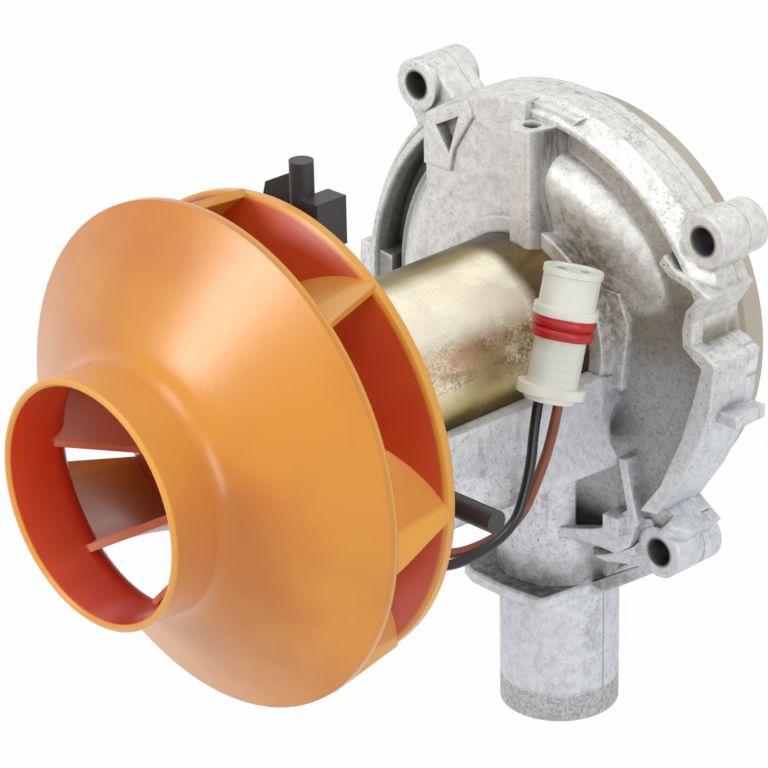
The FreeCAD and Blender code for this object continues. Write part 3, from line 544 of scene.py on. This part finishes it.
connector_end = Vector((0.0278, -0.037, 0.0006))
connector_axis = Vector((0.0, 0.264, 0.9645)).normalized()
connector_side = Vector((0.745, 0.645, -0.176))
connector_side = (connector_side - connector_axis * connector_side.dot(connector_axis)).normalized()
connector_front = connector_axis.cross(connector_side)


# Pieces that repeat, grown with Geometry Nodes

class Grower:
    """One Geometry Nodes tree: named sizes in, one material out, applied to a plain mesh."""

    def __init__(self, name, **sizes):
        self.group = bpy.data.node_groups.new(name, "GeometryNodeTree")
        self.group.interface.new_socket("Geometry", in_out="OUTPUT", socket_type="NodeSocketGeometry")
        self.sizes = sizes
        for label, value in sizes.items():
            kind = "NodeSocketInt" if isinstance(value, int) else "NodeSocketFloat"
            self.group.interface.new_socket(label, in_out="INPUT", socket_type=kind)
        self.inputs = self.group.nodes.new("NodeGroupInput")

    def size(self, label):
        return self.inputs.outputs[label]

    def node(self, kind, settings=None, values=None):
        made = self.group.nodes.new(kind)
        for key, value in (settings or {}).items():
            setattr(made, key, value)
        for key, value in (values or {}).items():
            if isinstance(value, bpy.types.NodeSocket):
                self.group.links.new(value, made.inputs[key])
            else:
                made.inputs[key].default_value = value
        return made.outputs[0]

    def math(self, operation, first, second):
        return self.node("ShaderNodeMath", {"operation": operation}, {0: first, 1: second})

    def finish(self, geometry, finish, place, smooth=True):
        """Closes the tree, runs it once and returns its result as a plain piece on the housing."""
        real = self.node("GeometryNodeRealizeInstances", None, {0: geometry})
        shaded = self.node("GeometryNodeSetShadeSmooth", None, {0: real, "Shade Smooth": smooth})
        dressed = self.node("GeometryNodeSetMaterial", None,
                            {0: shaded, "Material": finishes[finish]})
        out = self.group.nodes.new("NodeGroupOutput")
        self.group.links.new(dressed, out.inputs[0])
        maker = bpy.data.objects.new(self.group.name + "_maker", bpy.data.meshes.new("empty"))
        bpy.context.scene.collection.objects.link(maker)
        grower = maker.modifiers.new("grow", "NODES")
        grower.node_group = self.group
        for item in self.group.interface.items_tree:
            if item.in_out == "INPUT":
                grower[item.identifier] = self.sizes[item.name]
        bpy.context.view_layer.update()
        settled = maker.evaluated_get(bpy.context.evaluated_depsgraph_get())
        mesh = bpy.data.meshes.new_from_object(settled)
        mesh.transform(place)
        mesh.name = self.group.name
        bpy.data.objects.remove(maker)
        piece = bpy.data.objects.new(self.group.name, mesh)
        bpy.context.scene.collection.objects.link(piece)
        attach(piece, "housing")
        return piece


def oval_curve(g):
    """An oval of straight sides and round ends, on the tree's own half width and half depth."""
    oval = g.node("GeometryNodeCurvePrimitiveQuadrilateral", None, {
        0: g.math("MULTIPLY", g.size("Half Width"), 2.0),
        1: g.math("MULTIPLY", g.size("Half Depth"), 2.0)})
    return g.node("GeometryNodeFilletCurve", {"mode": "POLY"}, {
        0: oval, "Radius": g.math("MULTIPLY", g.size("Half Depth"), 0.995), "Count": 12})


def on_connector():
    """Places a piece grown upright at the origin along the connector."""
    place = Matrix((connector_side, connector_front, connector_axis)).transposed().to_4x4()
    place.translation = connector_end
    return place


def oval_rings(name, finish, slot, **sizes):
    """Round-edged rings on an oval, one above the other up the connector."""
    g = Grower(name, **sizes)
    rounded = oval_curve(g)
    section = g.node("GeometryNodeCurvePrimitiveCircle", None, {
        "Resolution": 12, "Radius": g.size("Ring Radius")})
    ring = g.node("GeometryNodeCurveToMesh", None, {0: rounded, 1: section})
    stack = g.node("GeometryNodeMeshLine", {"mode": "OFFSET"}, {"Count": g.size("Ring Count")})
    lift = g.node("ShaderNodeCombineXYZ", None, {2: g.size("First Height")})
    pitch = g.node("ShaderNodeCombineXYZ", None, {2: g.size("Ring Pitch")})
    g.group.links.new(lift, stack.node.inputs["Start Location"])
    g.group.links.new(pitch, stack.node.inputs["Offset"])
    rings = g.node("GeometryNodeInstanceOnPoints", None, {"Points": stack, "Instance": ring})
    piece = g.finish(rings, finish, on_connector())
    return piece


def contact_plate(name, finish, slot, **sizes):
    """Oval plate flush in the connector's mouth, with a hole over each contact."""
    g = Grower(name, **sizes)
    hole = g.node("GeometryNodeCurvePrimitiveCircle", None, {
        "Resolution": 20, "Radius": g.size("Hole Radius")})
    pair = g.node("GeometryNodeMeshLine", {"mode": "OFFSET"}, {"Count": 2})
    half_back = g.math("MULTIPLY", g.size("Contact Pitch"), -0.5)
    first = g.node("ShaderNodeCombineXYZ", None, {0: half_back})
    step = g.node("ShaderNodeCombineXYZ", None, {0: g.size("Contact Pitch")})
    g.group.links.new(first, pair.node.inputs["Start Location"])
    g.group.links.new(step, pair.node.inputs["Offset"])
    holes = g.node("GeometryNodeInstanceOnPoints", None, {"Points": pair, "Instance": hole})
    outline = g.node("GeometryNodeJoinGeometry", None, {0: oval_curve(g)})
    g.group.links.new(holes, outline.node.inputs[0])
    face = g.node("GeometryNodeFillCurve", {"mode": "NGONS"}, {0: outline})
    thick = g.node("GeometryNodeExtrudeMesh", None, {
        "Mesh": face, "Offset Scale": g.size("Thickness"), "Individual": False})
    under = g.node("GeometryNodeFlipFaces", None, {0: face})
    closed = g.node("GeometryNodeJoinGeometry", None, {0: thick})
    g.group.links.new(under, closed.node.inputs[0])
    welded = g.node("GeometryNodeMergeByDistance", None, {0: closed, "Distance": 0.000001})
    lift = g.node("ShaderNodeCombineXYZ", None, {2: g.size("Height")})
    raised = g.node("GeometryNodeTransform", None, {0: welded, "Translation": lift})
    piece = g.finish(raised, finish, on_connector(), smooth=False)
    return piece


seal_ribs = oval_rings("seal_ribs", "seal", "red_rubber", **{
    "Half Width": 0.00494, "Half Depth": 0.00374, "Ring Radius": 0.00098, "Ring Count": 2,
    "First Height": 0.01275, "Ring Pitch": 0.00198})
grip_ribs = oval_rings("connector_grip_ribs", "milky", "white_plastic", **{
    "Half Width": 0.00414, "Half Depth": 0.00334, "Ring Radius": 0.0006, "Ring Count": 4,
    "First Height": 0.0046, "Ring Pitch": 0.0017})
mouth_plate = contact_plate("connector_mouth_plate", "milky", "white_plastic", **{
    "Half Width": 0.00459, "Half Depth": 0.00339, "Hole Radius": 0.0009, "Contact Pitch": 0.0042,
    "Thickness": 0.0008, "Height": 0.0233})


# Brush springs, each on its own copy of its mesh

spring_seat = 0.0155
for side_name, spring_end in (("upper", spring_seat), ("lower", -spring_seat)):
    spring = "brush_spring_" + side_name
    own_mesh(nodes[spring])


# Leads, on the same route points as the solids

lead_r = 0.00095
guide_out = 0.02142
guide_angle = math.radians(-39.5)
black_exit_y = -0.0714
brown_exit_y = -0.0684
half_lead_pitch = 0.0018
inside_plug = 0.005


def from_guide(y, reach):
    """A point straight out from the guide's mouth, at a reach from it."""
    r = guide_out + reach
    return Vector((r * math.cos(guide_angle), y, r * math.sin(guide_angle)))


def lead(name, finish, points):
    """One insulated wire on its smooth line, in place of its solid."""
    curve = bpy.data.curves.new(name, "CURVE")
    curve.dimensions = "3D"
    curve.bevel_depth = lead_r
    curve.bevel_resolution = 5
    curve.use_fill_caps = True
    route = curve.splines.new("NURBS")
    route.points.add(len(points) - 1)
    for control, point in zip(route.points, points):
        control.co = (*point, 1.0)
    route.order_u = 3
    route.use_endpoint_u = True
    route.resolution_u = 16
    piece = bpy.data.objects.new(name, curve)
    bpy.context.scene.collection.objects.link(piece)
    curve.materials.append(finishes[finish])
    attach(piece, "housing")
    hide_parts(name.replace("insulated_", ""))
    sample = bpy.data.objects.new(name + "_line", curve.copy())
    sample.data.bevel_depth = 0.0
    line = bpy.data.meshes.new_from_object(sample)
    bpy.data.objects.remove(sample)


black_end = connector_end - connector_side * half_lead_pitch
brown_end = connector_end + connector_side * half_lead_pitch
lead("insulated_lead_black", "black_wire", [
    from_guide(black_exit_y, 0.0), from_guide(black_exit_y, 0.015),
    Vector((0.0292, -0.0486, -0.023)), Vector((0.0282, -0.0424, -0.0124)),
    black_end - connector_axis * inside_plug, black_end,
])
lead("insulated_lead_brown", "brown_wire", [
    from_guide(brown_exit_y, 0.0), from_guide(brown_exit_y, 0.0129),
    Vector((0.0267, -0.045, -0.024)), Vector((0.0282, -0.039, -0.012)),
    brown_end - connector_axis * inside_plug, brown_end,
])


# Floor, light and camera

floor_z = -0.0839
half_floor = 6.0
white = (1.0, 1.0, 1.0, 1.0)

floor_mesh = bpy.data.meshes.new("pale_floor")
floor_corners = [(-half_floor, -half_floor, floor_z), (half_floor, -half_floor, floor_z),
                 (half_floor, half_floor, floor_z), (-half_floor, half_floor, floor_z)]
floor_mesh.from_pydata(floor_corners, [], [(0, 1, 2, 3)])
floor = bpy.data.objects.new("pale_floor", floor_mesh)
bpy.context.scene.collection.objects.link(floor)
floor_look = Finish("pale_floor", tone(238, 238, 238), 0.9)
glow = floor_look.node("Emission", None, {"Color": white, "Strength": 1.0})
shade = floor_look.node("MixShader", None, {
    0: floor_look.shows_white() * 0.97, 1: Wire(floor_look, floor_look.shader.outputs[0]), 2: glow})
floor_look.tree.links.new(shade.socket, floor_look.tree.nodes["Material Output"].inputs[0])
floor_mesh.materials.append(floor_look.material)

world = bpy.data.worlds.new("soft_studio")
bpy.context.scene.world = world
world.use_nodes = True
studio = ShaderTree(world.node_tree)
level = studio.node("MapRange", None, {"Value": studio.shows_white(), "To Min": 0.3, "To Max": 1.0})
sky = studio.node("Background", None, {"Color": white, "Strength": level})
studio.tree.links.new(sky.socket, studio.tree.nodes["World Output"].inputs["Surface"])


lamp_target = Vector((0.0, -0.05, 0.0))


def softbox(name, place, width, height, power):
    """A soft rectangular lamp that looks at the middle of the object."""
    lamp = bpy.data.lights.new(name, "AREA")
    lamp.shape = "RECTANGLE"
    lamp.size = width
    lamp.size_y = height
    lamp.energy = power
    stand = bpy.data.objects.new(name, lamp)
    bpy.context.scene.collection.objects.link(stand)
    stand.location = place
    stand.rotation_euler = (lamp_target - Vector(place)).to_track_quat("-Z", "Y").to_euler()


softbox("key_softbox", (-0.34, -0.92, 0.44), 0.32, 0.32, 4.2)
softbox("side_softbox", (0.85, -0.35, 0.35), 0.4, 0.6, 3.0)
softbox("top_softbox", (0.1, -0.05, 0.95), 0.5, 0.5, 2.9)

azimuth, elevation, roll = math.radians(46.5), math.radians(24.65), math.radians(-1.26)
back = Vector((math.sin(azimuth) * math.cos(elevation), -math.cos(azimuth) * math.cos(elevation),
               math.sin(elevation)))
across = Vector((math.cos(azimuth), math.sin(azimuth), 0.0))
right = across * math.cos(roll) + back.cross(across) * math.sin(roll)
up = back.cross(right)
camera = bpy.data.objects.new("photo_camera", bpy.data.cameras.new("photo_camera"))
bpy.context.scene.collection.objects.link(camera)
camera.data.sensor_width = 36.0
camera.data.lens = 163.43
camera.data.clip_start = 0.05
aim = Vector((0.0, -0.077, 0.0))
shift_right, shift_up, distance = 0.01841, 0.00742, 0.61938
camera_place = right * shift_right + up * shift_up + back * distance + aim
camera.matrix_world = Matrix.Translation(camera_place) @ Matrix((right, up, back)).transposed().to_4x4()
bpy.context.scene.camera = camera
